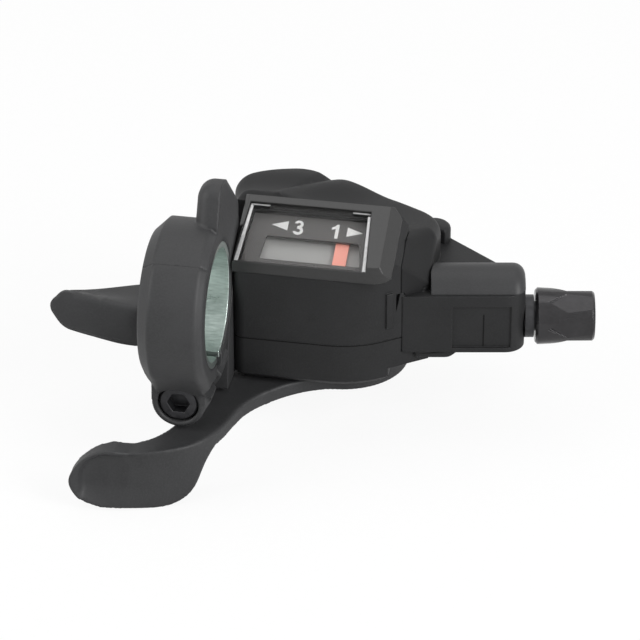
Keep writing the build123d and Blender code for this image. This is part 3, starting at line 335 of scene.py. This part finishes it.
# Black print for the case joint and the panel seam, also used as painted shadow on the window
black_ink_and_painted_shadow = ink(
    "black_print_and_painted_shadow", (0.004, 0.004, 0.004), (0.008, 0.008, 0.008), rough=0.6, specular=0.1
)
silver_ink = plated(
    "silver_print", (0.34, 0.34, 0.34), (0.56, 0.56, 0.56),
    rough=0.38, streak=1500, stretch=(1.0, 1.0, 1.0), metallic=0.5,
)
# The outlet cap takes the paler copy of the case plastic: painted light
painted_light_finish = {"outlet_cap": cap_plastic_painted_light}
for part in frame["record"]["subparts"]:
    node = nodes[part["node"]]
    node.data.materials.clear()
    node.data.materials.append(painted_light_finish.get(part["node"], materials[part["material_slot"]]))


def piece(name, mesh, material, body):
    made = bpy.data.objects.new(name, mesh)
    scene.collection.objects.link(made)
    mesh.materials.clear()
    mesh.materials.append(material)
    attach(made, body)
    return made


def meshed(shape, name):
    mesh = bpy.data.meshes.new(name)
    shape.to_mesh(mesh)
    shape.free()
    return mesh


def smoothed(mesh, sharp):
    """Smooth shading, apart from edges that turn by more than an angle in degrees."""
    mesh.shade_smooth()
    mesh.set_sharp_from_angle(angle=math.radians(sharp))
    return mesh


def in_mm(point):
    return (c / MM for c in point.co)


def extruded(outline, low, high):
    """A plate from a 2-D outline in mm, between two heights."""
    shape = bmesh.new()
    face = shape.faces.new([shape.verts.new((x * MM, y * MM, low * MM)) for x, y in outline])
    raised = bmesh.ops.extrude_face_region(shape, geom=[face])
    corners = [v for v in raised["geom"] if isinstance(v, bmesh.types.BMVert)]
    bmesh.ops.translate(shape, verts=corners, vec=(0, 0, (high - low) * MM))
    bmesh.ops.recalc_face_normals(shape, faces=shape.faces)
    return shape


def plate(outline, low, high, frame_at):
    mesh = meshed(extruded(outline, low, high), "plate")
    mesh.transform(frame_at)
    return mesh


def block(outline, low, high, frame_at, bevel):
    """A plate whose upper rim is rounded over."""
    shape = extruded(outline, low, high)
    top = (high - 0.01) * MM
    rim = [e for e in shape.edges if all(v.co.z > top for v in e.verts)]
    bmesh.ops.bevel(
        shape, geom=rim, offset=bevel * MM, segments=3, profile=0.5, affect="EDGES"
    )
    mesh = meshed(shape, "block")
    mesh.transform(frame_at)
    return smoothed(mesh, sharp=35)


def rounded(corners, radius, steps=4):
    """A polygon's corners in mm, each replaced by a short arc."""
    points = []
    for k, corner in enumerate(corners):
        here = Vector(corner)
        before = (Vector(corners[k - 1]) - here).normalized() * radius
        after = (Vector(corners[(k + 1) % len(corners)]) - here).normalized() * radius
        for i in range(steps + 1):
            t = i / steps
            points.append(here + before * (1 - t) ** 2 + after * t ** 2)
    return points


def bow(centre, radius, first, last, steps=14):
    """Points in mm along an arc, between two angles in degrees."""
    turns = [math.radians(first + (last - first) * k / steps) for k in range(steps + 1)]
    return [(centre[0] + radius * math.cos(t), centre[1] + radius * math.sin(t)) for t in turns]


def sheet(outlines, low, high):
    """A flat sheet over the window's plane; outlines after the first are openings."""
    curve = bpy.data.curves.new("sheet", "CURVE")
    curve.dimensions = "2D"
    curve.fill_mode = "BOTH"
    curve.extrude = (high - low) / 2 * MM
    for outline in outlines:
        spline = curve.splines.new("POLY")
        spline.points.add(len(outline) - 1)
        for point, (u, v) in zip(spline.points, outline):
            point.co = (u * MM, v * MM, 0, 1)
        spline.use_cyclic_u = True
    holder = bpy.data.objects.new("sheet", curve)
    scene.collection.objects.link(holder)
    bpy.context.view_layer.update()
    mesh = bpy.data.meshes.new_from_object(holder)
    bpy.data.objects.remove(holder)
    mesh.transform(window_frame @ Matrix.Translation((0, 0, (low + high) / 2 * MM)))
    return mesh


def joined(meshes):
    shape = bmesh.new()
    for mesh in meshes:
        shape.from_mesh(mesh)
    return meshed(shape, "joined")


def copied(node):
    """A node's mesh to work on, with its loose corners welded."""
    shape = bmesh.new()
    shape.from_mesh(nodes[node].data)
    bmesh.ops.remove_doubles(shape, verts=shape.verts, dist=0.002 * MM)
    return shape


def cut(shape, place, normal):
    """Runs a plane through a mesh, and gives the edges that lie in it."""
    whole = [*shape.verts, *shape.edges, *shape.faces]
    found = bmesh.ops.bisect_plane(shape, geom=whole, plane_co=place, plane_no=normal)
    return [e for e in found["geom_cut"] if isinstance(e, bmesh.types.BMEdge)]


def wall_at(node, level):
    """The outline in mm of a node's near wall at one height."""
    shape = copied(node)
    beside = {}
    for edge in cut(shape, (0, 0, level * MM), (0, 0, 1)):
        for point in edge.verts:
            beside.setdefault(point, []).append(edge.other_vert(point))
    walk = [min(beside, key=lambda point: point.co.y)]
    walk.append(beside[walk[0]][0])
    while True:
        onward = [point for point in beside[walk[-1]] if point is not walk[-2]]
        if not onward or onward[0] is walk[0]:
            break
        walk.append(onward[0])
    wall = [point.co.xy / MM for point in walk]
    shape.free()
    return wall


def joint_band(node, level, width, proud=0.03, depth=0.12):
    """A slim closed band let into a node's outer wall at one height in mm."""
    wall = wall_at(node, level)
    count = len(wall)
    area = sum(a.x * b.y - a.y * b.x for a, b in zip(wall, wall[1:] + wall[:1]))
    side = 1 if area > 0 else -1
    ways = [(wall[(k + 1) % count] - wall[k - 1]).normalized() for k in range(count)]
    band = bmesh.new()
    rings = []
    for out, rise in ((proud, 0.0), (proud, width), (-depth, width), (-depth, 0.0)):
        z = (level - width / 2 + rise) * MM
        rings.append([
            band.verts.new(((p.x + w.y * out * side) * MM, (p.y - w.x * out * side) * MM, z))
            for p, w in zip(wall, ways)
        ])
    for ring, beyond in zip(rings, rings[1:] + rings[:1]):
        for k in range(count):
            n = (k + 1) % count
            band.faces.new((ring[k], ring[n], beyond[n], beyond[k]))
    bmesh.ops.recalc_face_normals(band, faces=band.faces)
    return meshed(band, "joint_band")


def ramp(value, points):
    """Smooth steps from one to the next of (place, value) pairs."""
    for (x0, y0), (x1, y1) in zip(points, points[1:]):
        if value <= x1:
            t = max(0.0, (value - x0) / (x1 - x0))
            return y0 + (y1 - y0) * t * t * (3 - 2 * t)
    return points[-1][1]


def refined(node, lengths, crease=None):
    """A fine copy of a node's mesh to shape, with edges along a crease where one is given."""
    shape = copied(node)
    bmesh.ops.triangulate(shape, faces=shape.faces)
    if crease:
        cut(shape, *crease)
    for length in lengths:
        long_edges = [e for e in shape.edges if e.calc_length() > length * MM]
        bmesh.ops.subdivide_edges(shape, edges=long_edges, cuts=1)
        bmesh.ops.triangulate(shape, faces=shape.faces)
    return shape


SHRINK, SWELL = 0.55, -0.54
SHORTEST_EDGE = 0.1 * MM


def softened(shape, share_at, rounds):
    """Rounds the edges of a fine mesh, where share_at gives more than 0 for a place in mm."""
    shares = {point: share_at(*in_mm(point)) for point in shape.verts}
    free = {point: share for point, share in shares.items() if share > 0}
    for push in (SHRINK, SWELL) * rounds:
        moves = {}
        for point in free:
            pull, total = Vector(), 0.0
            for edge in point.link_edges:
                weight = 1 / max(edge.calc_length(), SHORTEST_EDGE)
                pull += (edge.other_vert(point).co - point.co) * weight
                total += weight
            moves[point] = pull / total
        for point, move in moves.items():
            point.co += move * push * free[point]


# The roof's crease runs back and to the right from its foot, with a hump on each side
CREASE_X, CREASE_Y = 11.3, 28.0
CREASE_LEAN = 0.646
LEFT_CREST, LEFT_DIP, LEFT_VALLEY = 2.7, 1.7, 8.0
RIGHT_CREST, RIGHT_DIP, RIGHT_VALLEY = 2.4, 1.4, 4.3
LIP_REACH = 1.2
BEZEL_TOP = 9.2


def roof_rise(x, y, z):
    """How far the roof is drawn up, in mm."""
    away = x - (CREASE_X + CREASE_LEAN * (y - CREASE_Y))
    if -LEFT_VALLEY < away <= 0:
        hump = LEFT_CREST - LEFT_DIP * (1 + away / LEFT_VALLEY) ** 2
    elif 0 < away < RIGHT_VALLEY:
        hump = RIGHT_CREST - RIGHT_DIP * (1 - away / RIGHT_VALLEY) ** 2
    else:
        hump = ramp(away, [
            (-16.7, -1.6), (-LEFT_VALLEY, LEFT_CREST), (RIGHT_VALLEY, RIGHT_CREST),
            (14.3, 1.3), (25.3, 0.9),
        ])
    return hump * ramp(y, [(26.0, 0.0), (41.0, 1.0)]) * ramp(z, [(-3.9, 0.0), (2.5, 1.0)])


def swelled_cover():
    """The cover with its roof drawn up into two humps, and its near edge laid on the bezel."""
    crease = Vector((CREASE_X, CREASE_Y, 0)) * MM, Vector((1, -CREASE_LEAN, 0)).normalized()
    shape = refined("top_cover", (4.0, 2.0, 1.2, 1.0), crease)
    for point in shape.verts:
        x, y, z = in_mm(point)
        rise = roof_rise(x, y, z)
        lip = ramp(y, [(26.6, 1.0), (28.2, 0.0)]) * ramp(z, [(3.0, 0.0), (6.0, 1.0)])
        spread = ramp(x, [(7.5, 1.9), (13.0, 0.0)]) * ramp(z, [(-3.5, 0.0), (3.0, 1.0)])
        point.co.x -= spread * MM
        point.co.y -= LIP_REACH * lip * MM
        point.co.z += (rise - max(0.0, z + rise - BEZEL_TOP) * lip) * MM
    return smoothed(meshed(shape, "swelled_cover"), sharp=24)


CROWN = 0.9
CROWN_MIDDLE, CROWN_HALF = -13.8, 4.4
TIP_FALL = 1.7
KEEL_DROP = 0.7


def crowned_trigger():
    """The release lever with a crowned thumb face, and its back edge falling to a rounder tip."""
    shape = refined("release_lever", (4.0, 2.0, 1.2))
    for point in shape.verts:
        x, y, z = in_mm(point)
        outward = ramp(-x, [(9.0, 0.0), (27.0, 1.0)])
        back = ramp(y, [(15.8, 0.0), (18.4, 1.0)]) * ramp(z, [(-14.0, 0.0), (-10.0, 1.0)])
        keel = ramp(z, [(-18.2, 1.0), (-14.0, 0.0)]) * ramp(-x, [(9.0, 0.0), (18.0, 1.0)])
        face = max(0.0, 1 - ((z - CROWN_MIDDLE) / CROWN_HALF) ** 2)
        face *= 1 - ramp(y, [(15.6, 0.0), (17.0, 1.0)])
        face *= ramp(-x, [(9.0, 0.0), (15.0, 1.0)])
        point.co.y -= CROWN * face * MM
        point.co.z -= (TIP_FALL * back * outward + KEEL_DROP * keel) * MM
    return smoothed(meshed(shape, "crowned_trigger"), sharp=28)


LEVER_AXLE_X, LEVER_AXLE_Y = 25.4, 30.1
PADDLE_X, PADDLE_Z, PADDLE_ROUND = -12.0, -30.0, 7.3
SCOOP_DEPTH = 1.15


def beyond_hub(x, y, z):
    away = math.hypot(x - LEVER_AXLE_X, y - LEVER_AXLE_Y)
    return ramp(away, [(12.5, 0.0), (14.5, 1.0)])


def scooped_lever():
    """The thumb lever with soft edges, and a scoop behind the rim at its paddle's end."""
    shape = refined("main_lever", (4.0, 2.0, 1.2, 0.9, 0.7))
    softened(shape, beyond_hub, rounds=9)
    shape.normal_update()
    for point in shape.verts:
        x, y, z = in_mm(point)
        inward = PADDLE_ROUND - math.hypot(min(0.0, x - PADDLE_X), max(0.0, z - PADDLE_Z))
        scoop = ramp(inward, [(1.4, 0.0), (2.7, 1.0), (11.0, 0.0)])
        scoop *= ramp(-point.normal.y, [(0.4, 0.0), (0.75, 1.0)])
        scoop *= ramp(x, [(-9.0, 1.0), (-3.0, 0.0)]) * ramp(z, [(-36.0, 0.0), (-31.5, 1.0)])
        point.co.y += SCOOP_DEPTH * scoop * MM
        point.co.z = max(point.co.z, lowest)
    return smoothed(meshed(shape, "scooped_lever"), sharp=50)


# The ring is bevelled beyond two places along the bar, and runs to the boss along a tangent
RING_RADIUS = 16.4
RING_SKIN = 15.9
BLEND_TOP, BLEND_BACK = -8.0, -6.0
BEVEL_LEFT, BEVEL_RIGHT = -3.9, 5.1
TANGENT_NEAR, TANGENT_DROP = 13.0, 10.0
BOLT_DROP = 18.0
BOSS_CORE = 4.6
WING_RIGHT, WING_LEFT = 2.4, 0.3


def beside_bolt(x, y, z):
    share = ramp(math.hypot(y, z), [(14.2, 0.0), (15.0, 1.0)])
    share *= ramp(-z, [(9.0, 0.0), (11.0, 1.0)])
    share *= ramp(math.hypot(x, z + BOLT_DROP), [(4.3, 0.0), (4.8, 1.0)])
    return share * ramp(abs(y), [(1.6, 0.0), (2.4, 1.0)])


def blended_clamp(node):
    """Half of the clamp, its ring running down into the bolt's boss without a step."""
    shape = refined(node, (4.0, 2.0, 1.2, 0.8))
    for point in shape.verts:
        x, y, z = in_mm(point)
        bevel = max(0.0, x - BEVEL_RIGHT) + max(0.0, BEVEL_LEFT - x)
        radius = math.hypot(y, z)
        if radius < RING_SKIN - bevel or z > BLEND_TOP:
            continue
        widen = ramp(z, [(-21.0, 0.0), (-15.5, 1.0)]) * ramp(y, [(-8.5, 0.15), (-6.5, 1.0)])
        widen *= ramp(radius, [(16.3, 0.0), (17.2, 1.0)]) * max(0.0, abs(x) - BOSS_CORE)
        point.co.x += (WING_RIGHT if x > 0 else WING_LEFT) * math.copysign(widen, x) * MM
        if y < BLEND_BACK and z < -TANGENT_DROP * (1 - bevel / RING_RADIUS):
            reach = RING_RADIUS * (RING_RADIUS - bevel)
            point.co.y = min(y, -(reach + TANGENT_DROP * z) / TANGENT_NEAR) * MM
    softened(shape, beside_bolt, rounds=6)
    return smoothed(meshed(shape, "blended_clamp"), sharp=40)


for half, node in (("clamp_front", "clamp_cover"), ("clamp_back", "clamp_shell")):
    made = piece(half, blended_clamp(node), materials["black_plastic"], "case")
    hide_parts(node)
# The roof takes the darker copy of the case plastic: painted shade
made = piece("roof_cover", swelled_cover(), roof_plastic_painted_shade, "case")
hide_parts("top_cover")
lever_nylon = materials["lever_plastic"]
made = piece("trigger_blade", crowned_trigger(), lever_nylon, "release_lever")
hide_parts("release_lever")
made = piece("thumb_paddle", scooped_lever(), lever_nylon, "main_lever")
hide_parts("main_lever")

# Drum with its underside eased off the pawls, which swing in under its rim
DRUM_UNDERSIDE = -15.04
drum = nodes["cable_drum"].data.copy()
for point in drum.vertices:
    point.co.z = max(point.co.z, DRUM_UNDERSIDE * MM)
made = piece("eased_drum", drum, materials["drum_plastic"], "drum")
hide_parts("cable_drum")

# Bracket under the clamp's lug, against the case; its outline is seen along the bar
from_left = Matrix(((0, 0, -1, 0), (-1, 0, 0, 0), (0, 1, 0, 0), (0, 0, 0, 1)))
bracket = [(-9.2, -9.7), (-13.2, -3.0), (-15.1, -3.0), (-15.1, -23.2), (-6.4, -23.2)]
mesh = block(rounded(bracket, 0.5), -6.6, -2.2, from_left, bevel=1.0)
piece("clamp_bracket", mesh, materials["black_plastic"], "case")

# Raised boss on the corner ear, behind the cover
lobe = [*bow((41.9, 41.75), 3.35, -18, 128, 18), (38.6, 41.35), (44.35, 39.8)]
mesh = block(lobe, -5.0, -1.7, Matrix.Identity(4), bevel=0.9)
piece("ear_boss", mesh, materials["housing_plastic"], "case")

# Needle with a slimmer flag than the solid's
FLAG_MIDDLE, FLAG_SHARE, FLAG_FOOT = 5.7, 0.7, -4.0
flag = nodes["indicator_needle"].data.copy()
to_window = window_frame.inverted()
for point in flag.vertices:
    place = to_window @ point.co
    if place.z > FLAG_FOOT * MM:
        place.x = (FLAG_MIDDLE + (place.x / MM - FLAG_MIDDLE) * FLAG_SHARE) * MM
        point.co = window_frame @ place
made = piece("needle_flag", flag, materials["needle_red"], "needle")
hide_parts("indicator_needle")


def oblong(left, right, near, far):
    return [(left, near), (right, near), (right, far), (left, far)]


# Dial: a base, its print and, under the slot, a tray with two sides
PRINT = 0.04
BASE_BACK = DIAL_FACE - 0.5
TRAY_FACE, TRAY_BACK = DIAL_FACE - 1.7, DIAL_FACE - 2.2
TRAY_LEFT, TRAY_RIGHT, TRAY_NEAR, TRAY_FAR = -9.3, 11.9, 3.4, 9.3
TRAY_WALL = 0.5
dial_slot = rounded([(-8.6, 2.4), (11.3, 2.3), (10.4, 7.85), (-8.0, 7.95)], 0.45)
dial_base = [
    (-11.75, 1.6), (-11.1, 0.92), (7.0, 0.97), (9.0, 1.34), (11.0, 2.0), (13.05, 3.05),
    (13.05, 13.05), (-11.75, 13.05),
]
print_area = [(-12.1, 0.92), (12.1, 0.92), (11.2, 13.0), (-11.2, 13.0)]
dial = joined([
    sheet([dial_base, dial_slot], BASE_BACK, DIAL_FACE),
    sheet([print_area, dial_slot], DIAL_FACE, DIAL_FACE + PRINT),
    sheet([oblong(TRAY_LEFT, TRAY_RIGHT, TRAY_NEAR, TRAY_FAR)], TRAY_BACK, TRAY_FACE),
    *(
        sheet([oblong(left, left + TRAY_WALL, TRAY_NEAR, TRAY_FAR)], TRAY_FACE, BASE_BACK)
        for left in (TRAY_LEFT, TRAY_RIGHT - TRAY_WALL)
    ),
])
made = piece("dial_face", dial, materials["dial_plate"], "case")
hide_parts("indicator_dial")

# Figures, drawn about their own middles, and arrows, from tip to tail
MARK_FACE = DIAL_FACE + 0.05
three = [
    *bow((-0.1, 0.78), 0.9, 168, -48),
    *bow((-0.1, -0.72), 1.02, 54, -168),
    *bow((-0.1, -0.72), 0.42, -150, 90),
    (-0.36, -0.3),
    (-0.36, 0.34),
    *bow((-0.1, 0.78), 0.34, -90, 150),
]
one = [
    (0.0, 1.65), (0.52, 1.65), (0.52, -1.65), (-0.14, -1.65), (-0.14, 0.66), (-0.9, 0.34),
    (-0.9, 0.9), (-0.35, 1.15),
]
marks = {}
for name, figure, across, row in (("three", three, -2.0, 10.4), ("one", one, 5.4, 10.25)):
    marks["gear_figure_" + name] = [(across + x, row + y) for x, y in figure]
ARROW_HALF = 1.1
for name, tip, tail, row in (("left", -7.45, -4.2, 10.6), ("right", 10.75, 7.6, 10.35)):
    marks["gear_arrow_" + name] = [(tip, row), (tail, row + ARROW_HALF), (tail, row - ARROW_HALF)]
for name, outline in marks.items():
    mesh = sheet([outline], MARK_FACE, MARK_FACE + PRINT)
    piece(name, mesh, white_ink, "case")

# Dark joint between the two halves of the case
mesh = joint_band("lower_housing", level=-14.12, width=0.2)
piece("case_joint", mesh, black_ink_and_painted_shadow, "case")

# On the outlet, in the cable's frame: a mould seam down its panel, and a gusset under its root
turn = math.radians(10.5)
outlet_frame = Matrix((
    (math.cos(turn), 0, math.sin(turn), 0),
    (math.sin(turn), 0, -math.cos(turn), 0),
    (0, 1, 0, 0),
    (0, 0, 0, 1),
))
mesh = plate(oblong(57.9, 58.15, -16.3, -9.2), -10.6, -10.44, outlet_frame)
piece("panel_seam", mesh, black_ink_and_painted_shadow, "case")
gusset = rounded([(44.5, -17.2), (44.5, -19.2), (51.4, -19.2), (53.8, -17.2)], 0.9)
mesh = block(gusset, -20.0, -10.6, outlet_frame, bevel=0.5)
piece("outlet_gusset", mesh, materials["housing_plastic"], "case")

# Silver lines on the window, and black strips below the two short ones, painted as the shadow
# under each line's step
silver_lines = {
    "left_bar": [(-13.0, 0.06), (-12.2, 0.06), (-11.35, 13.3), (-11.95, 13.8)],
    "right_bar": [(12.3, 0.06), (13.0, 0.06), (11.98, 13.1), (11.45, 13.1)],
    "left_line": [(-11.9, 13.84), (-11.9, 13.5), (-8.1, 13.5), (-8.1, 13.84)],
    "right_line": [(8.4, 13.84), (8.4, 13.5), (11.9, 13.5), (11.9, 13.84)],
}
for name, outline in silver_lines.items():
    mesh = sheet([rounded(outline, 0.08)], LENS_FACE, LENS_FACE + 0.05)
    piece("window_" + name, mesh, silver_ink, "case")
# Painted shadow: black sheets on the lens where shade falls below each short silver line
for name, left, right in (("left", -11.3, -8.0), ("right", 8.4, 11.4)):
    mesh = sheet([oblong(left, right, 12.85, 13.44)], LENS_FACE, LENS_FACE + 0.03)
    piece("window_step_" + name, mesh, black_ink_and_painted_shadow, "case")


def studio():
    """A white backdrop, which lights the part less than it shows."""
    g = Graph(bpy.data.worlds.new("studio"))
    rays = g.node("LightPath").outputs
    mirrored = g.maths("MAXIMUM", rays["Is Glossy Ray"], rays["Is Transmission Ray"])
    seen = g.maths("MAXIMUM", rays["Is Camera Ray"], mirrored)
    room, backdrop = (
        g.node("Background", {}, {"Color": (1, 1, 1), "Strength": strength}).outputs[0]
        for strength in (0.35, 1.0)
    )
    return g.shown(g.either(seen, room, backdrop), "OutputWorld")


def paper_floor():
    """White paper, mostly glowing to the camera so that it meets the backdrop."""
    g = finish("paper_floor")
    tone = g.mix(g.noise(900, 4).spread(), (0.86, 0.86, 0.86), (0.9, 0.9, 0.9))
    paper = g.node("BsdfDiffuse", {}, {"Color": tone}).outputs[0]
    glow = g.node("Emission", {}, {"Color": (1.0, 1.0, 1.0), "Strength": 1.0}).outputs[0]
    seen = Wire(g, g.node("LightPath").outputs["Is Camera Ray"])
    return g.shown(g.either(seen * 0.9, paper, glow))


scene.world = studio()
FLOOR_HALF = 1500
paper = oblong(-FLOOR_HALF, FLOOR_HALF, -FLOOR_HALF, FLOOR_HALF)
mesh = plate(paper, -2.0, 0.0, Matrix.Translation((0, 0, lowest)))
mesh.materials.append(paper_floor())
floor = bpy.data.objects.new("floor", mesh)
scene.collection.objects.link(floor)

AZIMUTH = math.radians(10.5)
ELEVATION = math.radians(31.0)
DISTANCE = 0.684
ASIDE, BELOW = 25.87, 3.46
to_camera = Vector((
    math.sin(AZIMUTH) * math.cos(ELEVATION),
    -math.cos(AZIMUTH) * math.cos(ELEVATION),
    math.sin(ELEVATION),
))
rightward = Vector((math.cos(AZIMUTH), math.sin(AZIMUTH), 0))
upward = to_camera.cross(rightward)
target = (rightward * ASIDE - upward * BELOW) * MM
eye = bpy.data.cameras.new("camera")
eye.lens = 200
eye.sensor_width = 36
eye.clip_start = 0.05
camera = bpy.data.objects.new("camera", eye)
scene.collection.objects.link(camera)
camera.location = target + to_camera * DISTANCE
camera.rotation_euler = to_camera.to_track_quat("Z", "Y").to_euler()
scene.camera = camera


def softbox(name, place, size, power):
    lamp = bpy.data.lights.new(name, "AREA")
    lamp.shape = "RECTANGLE"
    lamp.size, lamp.size_y = size
    lamp.energy = power
    made = bpy.data.objects.new(name, lamp)
    scene.collection.objects.link(made)
    made.location = Vector(place)
    made.rotation_euler = (Vector(place) - target).to_track_quat("Z", "Y").to_euler()


softbox("overhead", (-0.1, 0.12, 0.75), size=(0.8, 0.6), power=1.9)
softbox("left_side", (-0.6, -0.25, 0.35), size=(0.4, 0.5), power=2.4)
softbox("right_side", (0.6, -0.3, 0.35), size=(0.3, 0.5), power=4.8)

scene.view_settings.view_transform = "Standard"
